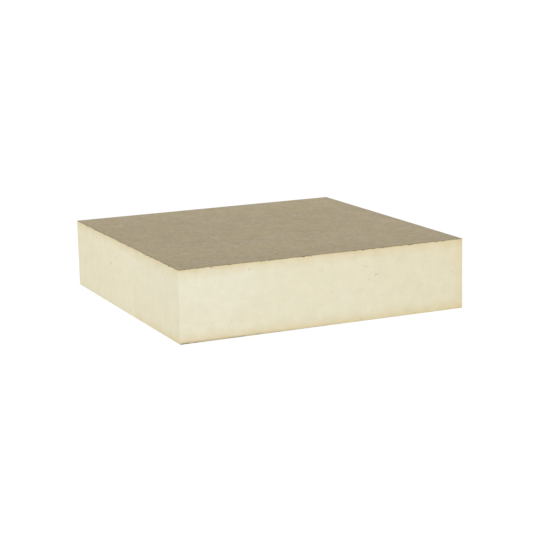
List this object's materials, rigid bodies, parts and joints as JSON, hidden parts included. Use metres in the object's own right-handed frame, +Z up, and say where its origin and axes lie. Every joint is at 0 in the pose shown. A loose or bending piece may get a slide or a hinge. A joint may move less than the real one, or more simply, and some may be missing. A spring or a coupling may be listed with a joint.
{
  "type": "faced polyisocyanurate insulation board",
  "caption": "Square cut sample of rigid polyisocyanurate roof insulation board: cream closed-cell foam bonded between grey-tan felt facers, lying flat.",
  "frame": {"origin": "middle of the underside, where the bottom facer meets the surface the board lies on", "axes": "+Z up through the thickness; +X along the front edge, to the right; +Y from the front edge to the back edge"},
  "size_m": [0.218, 0.218, 0.0508],
  "materials": {
    "polyiso_foam": "sawn closed-cell polyisocyanurate foam, cream, denser and yellower beside the facers",
    "facer_felt": "matt glass-reinforced cellulose felt, mottled grey-tan"
  },
  "bodies": {
    "root": {"foam_core": "polyiso_foam", "top_facer": "facer_felt", "bottom_facer": "facer_felt"}
  },
  "joints": []
}
